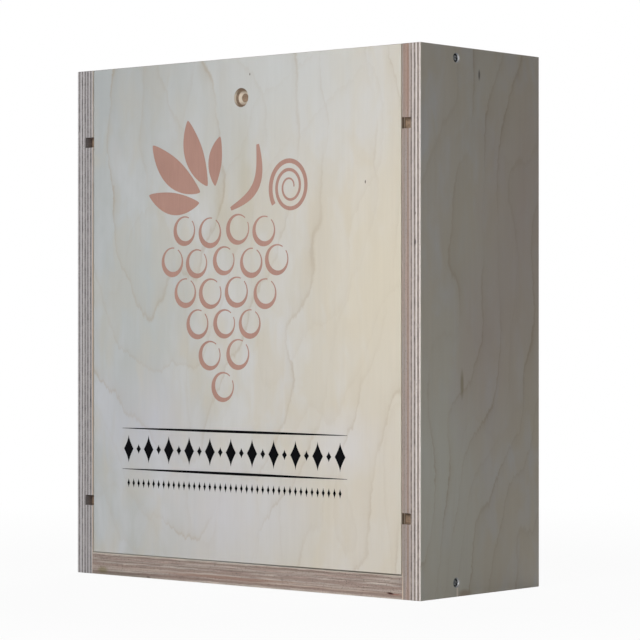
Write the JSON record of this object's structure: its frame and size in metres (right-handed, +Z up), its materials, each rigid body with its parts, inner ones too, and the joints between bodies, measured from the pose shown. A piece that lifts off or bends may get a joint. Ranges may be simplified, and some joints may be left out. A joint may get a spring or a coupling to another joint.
{
  "type": "wooden wine box",
  "caption": "Upright plywood wine box with a lid that slides up out of grooves, and slotted rests inside that cradle bottle necks and bodies.",
  "frame": {"origin": "centre of the base on which the box stands", "axes": "+Z up, along which the lid slides open; the lid faces -Y; +X is to the right of someone who faces the lid"},
  "size_m": [0.306, 0.126, 0.35],
  "materials": {
    "side_ply": "sanded birch plywood, bare",
    "end_ply": "sanded birch plywood, bare",
    "back_ply": "sanded birch plywood, bare",
    "lid_ply": "finely sanded birch plywood, bare",
    "rest_ply": "birch plywood with sawn edges, bare",
    "lid_print": "matt screen print in terracotta and black, sunk into the wood",
    "screw_steel": "zinc plated, dulled",
    "brad_steel": "bright drawn wire"
  },
  "bodies": {
    "box": {"left_side": "side_ply", "right_side": "side_ply", "top_end": "end_ply", "bottom_end": "end_ply", "back_panel": "back_ply", "neck_rest": "rest_ply", "bottle_rest": "rest_ply", "screw_top_left": "screw_steel", "screw_top_right": "screw_steel", "screw_bottom_left": "screw_steel", "screw_bottom_right": "screw_steel", "back_brads": "brad_steel"},
    "lid": {"sliding_lid": "lid_ply"}
  },
  "joints": [
    {"name": "lid_slide", "type": "slide", "parent": "box", "child": "lid", "axis": [0, 0, 1], "range_m": [0, 0.32]}
  ]
}
